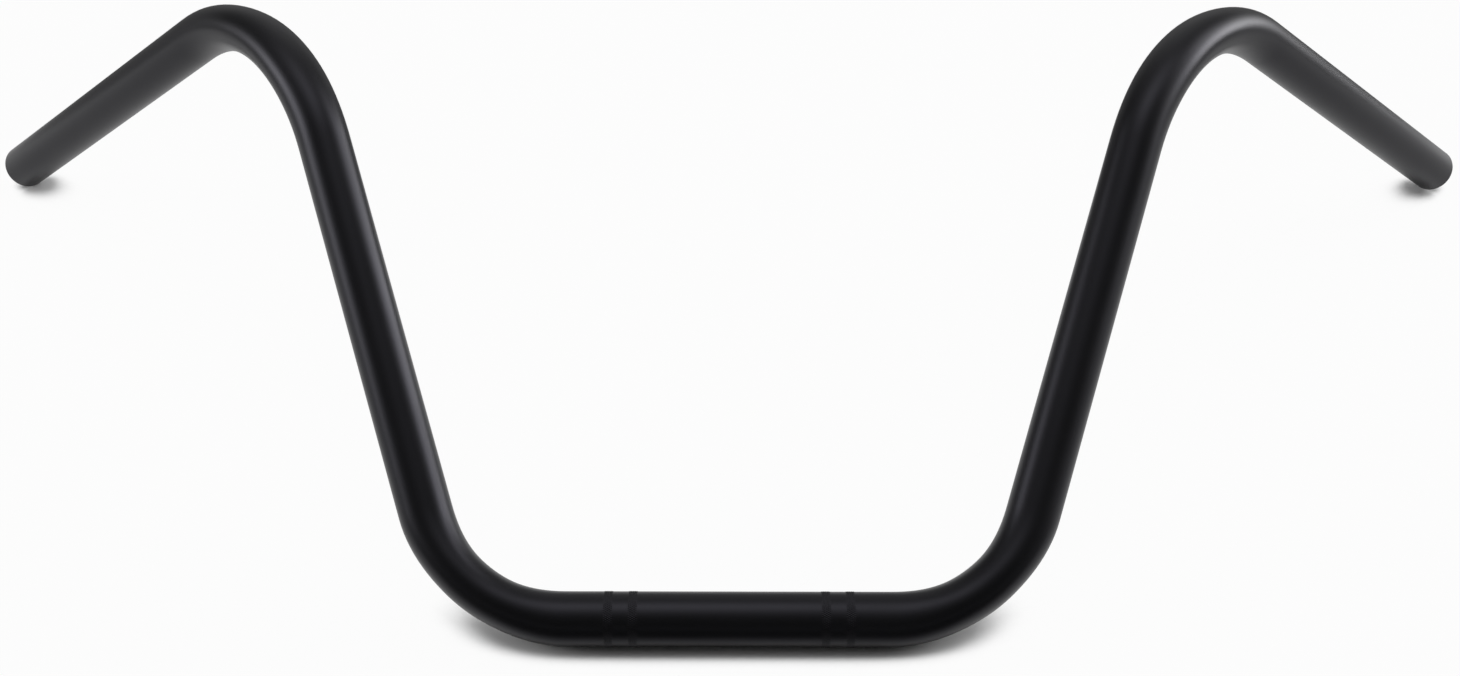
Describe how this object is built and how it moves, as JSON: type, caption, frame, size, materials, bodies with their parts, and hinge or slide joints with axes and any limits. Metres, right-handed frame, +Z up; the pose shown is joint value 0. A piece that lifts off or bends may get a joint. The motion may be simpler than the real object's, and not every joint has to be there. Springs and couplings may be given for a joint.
{
  "type": "ape hanger handlebar",
  "caption": "Tall motorcycle handlebar bent from round steel tube, with a straight clamp run, rising spread arms and swept-back grips, in satin black.",
  "frame": {"origin": "middle of the clamp run, on the tube's axis", "axes": "+X along the clamp run, +Y back towards the grips, +Z up from the floor that the bar lies on"},
  "size_m": [0.8748, 0.4047, 0.1927],
  "materials": {
    "black_powder_coat": "satin black powder coat over steel"
  },
  "bodies": {
    "root": {"handlebar": "black_powder_coat"}
  },
  "joints": []
}
